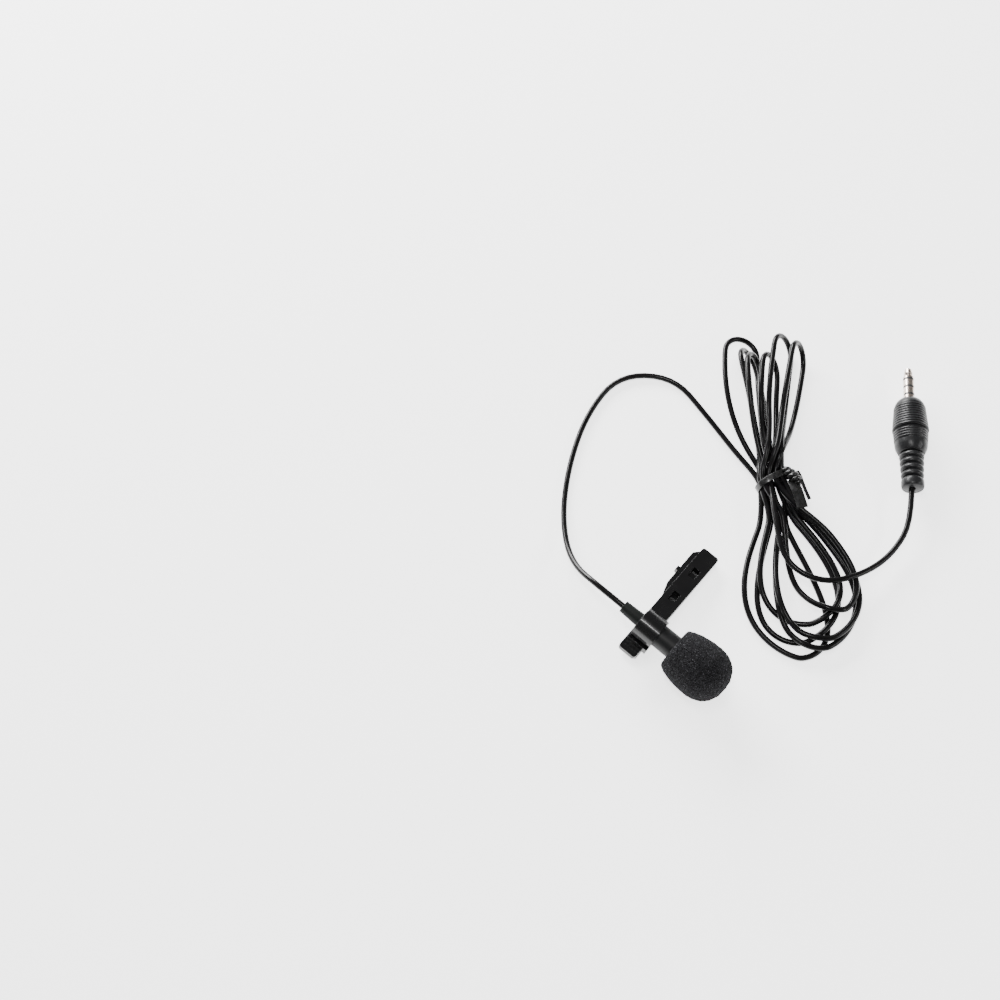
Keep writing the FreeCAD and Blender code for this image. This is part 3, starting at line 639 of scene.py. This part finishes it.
clip_black = gloss_finish()
even_shading(new_piece("upper_lever", softened("clip_upper_lever", 0.42, 3), "clip", "clip_upper_lever",
                       slot="clip", material=clip_black))
even_shading(new_piece("lower_lever", softened("clip_lower_lever", 0.36, 3), "lower_jaw", "clip_lower_lever",
                       slot="clip", material=clip_black))


# Plug: a satin moulded body with fine turned ridges either side of one deep groove, and a ribbed boot.

PLUG_TURN = math.radians(124.4)
PLUG_POSE = Matrix.Translation(Vector((6.24, 110.38, 5.9)) * MM) @ Matrix.Rotation(PLUG_TURN, 4, "Z")


def moulding_finish():
    moulding = Finish("plug_moulding", (0.012, 0.012, 0.013), 0.38, Specular_IOR_Level=0.28)
    grain = moulding.noise(0.22 * MM, 3)
    cloud = moulding.noise(4 * MM, 3)
    moulding.feed("Roughness", moulding.ramp(grain + cloud * 0.6, 0.5, 1.2, 0.28, 0.46))
    moulding.feed("Base Color", moulding.blend(cloud, (0.009, 0.009, 0.0095), (0.016, 0.016, 0.0175)))
    moulding.relief(grain, 0.03 * MM, 0.7)
    return moulding.material


def ridged(start, end, radius, count, depth, drop=0.0):
    """Fine rounded ridges along a nearly straight stretch, from the front to the back."""
    points = []
    pitch = (end - start) / count
    for ridge in range(count):
        along = start + pitch * ridge
        size_here = radius - drop * ridge / max(1, count - 1)
        points += [(along + pitch * 0.12, size_here - depth), (along + pitch * 0.3, size_here),
                   (along + pitch * 0.78, size_here), (along + pitch * 0.95, size_here - depth)]
    return points


body_outline = [(0, 1.5), (0, 1.8)]
body_outline += bend((0, 1.8), (-0.2, 3.2), (-1.2, 4.5), (-3.4, 5.05), 10)[1:]
body_outline += ridged(-3.5, -12.1, 5.2, 9, 0.2, -0.68)
body_outline += [(-12.2, 5.9), (-12.35, 5.75), (-12.4, 5.2), (-12.75, 5.2), (-12.8, 5.5), (-13.0, 5.66)]
body_outline += ridged(-13.1, -16.7, 5.64, 4, 0.18, 0.2)
body_outline += [(-16.75, 5.15), (-17.1, 5.15), (-17.15, 5.35), (-18.2, 5.25), (-19.0, 5.1), (-20.6, 4.4),
                 (-20.9, 4.15), (-21, 3.9), (-21, 1.55), (-19, 1.55), (-19, 3.3), (-2, 3.3), (-2, 1.5)]
moulded = moulding_finish()
plug_body = new_piece("plug_shell", lathe("plug_shell", body_outline, 96, PLUG_POSE), "microphone",
                      "plug_body", slot="plug_moulding", material=moulded)
plug_body.data.set_sharp_from_angle(angle=math.radians(50))

boot_outline = [(-23, 0.97), (-19, 0.97), (-19, 1.5), (-21, 1.5), (-21, 3.2), (-21.3, 3.2)]
for rib in range(4):
    front = -21.4 - rib * 2.32
    fat = 4.0 - rib * 0.11
    boot_outline += [(front, fat - 0.3), (front - 0.3, fat - 0.03), (front - 0.8, fat),
                     (front - 1.3, fat - 0.08), (front - 1.55, fat - 0.35), (front - 1.65, fat - 0.8),
                     (front - 2.2, fat - 0.82)]
boot_outline += [(-30.7, 3.4), (-30.9, 3.6), (-31.6, 3.68), (-32.9, 3.66), (-33.4, 3.55), (-33.7, 3.3),
                 (-33.7, 0.97)]
plug_boot = new_piece("plug_relief", lathe("plug_relief", boot_outline, 72, PLUG_POSE), "microphone",
                      "plug_boot", slot="plug_moulding", material=moulded)
plug_boot.data.set_sharp_from_angle(angle=math.radians(55))


def contact_finish():
    nickel = Finish("contact_nickel", (0.66, 0.56, 0.5), 0.2, Metallic=1.0)
    lines = nickel.noise(0.1 * MM, 2, spot=nickel.place((9, 0.6, 0.6), (0, 0, -PLUG_TURN)))
    nickel.feed("Roughness", nickel.ramp(lines, 0.3, 0.7, 0.16, 0.34))
    nickel.feed("Base Color", nickel.blend(nickel.noise(2 * MM, 3), (0.6, 0.5, 0.44), (0.74, 0.66, 0.6)))
    nickel.relief(lines, 0.006 * MM, 0.6)
    return nickel.material


give(contact_finish(), "jack_tip", "jack_ring_one", "jack_ring_two", "jack_sleeve")


# Table and light: a plain pale table, a narrow panel overhead and one low panel at each side.  The
# left one is much the strongest, for the line of light on the clip's bevelled edge.

TABLE_GLOW = 2.4
ROOM_GLOW = 0.22
floor = bpy.data.objects.new("floor", bpy.data.meshes.new("floor"))
table = bmesh.new()
bmesh.ops.create_grid(table, x_segments=1, y_segments=1, size=3)
table.to_mesh(floor.data)
table.free()
bpy.context.scene.collection.objects.link(floor)
pale = Finish("pale_table", (0.95, 0.95, 0.95), 0.8, Specular_IOR_Level=0.1, Emission_Color=(1, 1, 1, 1),
              Emission_Strength=TABLE_GLOW)
dress(floor, pale.material)

world = bpy.data.worlds.new("studio")
world.use_nodes = True
world.node_tree.nodes["Background"].inputs["Color"].default_value = (1, 1, 1, 1)
world.node_tree.nodes["Background"].inputs["Strength"].default_value = ROOM_GLOW
bpy.context.scene.world = world

WORK_CENTRE = Vector((-5, 45, 0)) * MM


def panel(name, bearing, height, distance, wide, tall, power):
    """A soft panel light aimed at the middle of the work."""
    light = bpy.data.lights.new(name, "AREA")
    light.shape = "RECTANGLE"
    light.size = wide
    light.size_y = tall
    light.energy = power
    lamp = bpy.data.objects.new(name, light)
    bearing, height = math.radians(bearing), math.radians(height)
    towards = Vector((math.sin(bearing) * math.cos(height), -math.cos(bearing) * math.cos(height),
                      math.sin(height)))
    lamp.location = WORK_CENTRE + towards * distance
    lamp.rotation_euler = towards.to_track_quat("Z", "Y").to_euler()
    bpy.context.scene.collection.objects.link(lamp)


panel("overhead_panel", -30, 77, 0.8, 0.34, 0.06, 3.2)
panel("left_panel", -112, 22, 0.9, 0.7, 0.3, 22)
panel("right_panel", 115, 32, 0.9, 0.6, 0.1, 3)
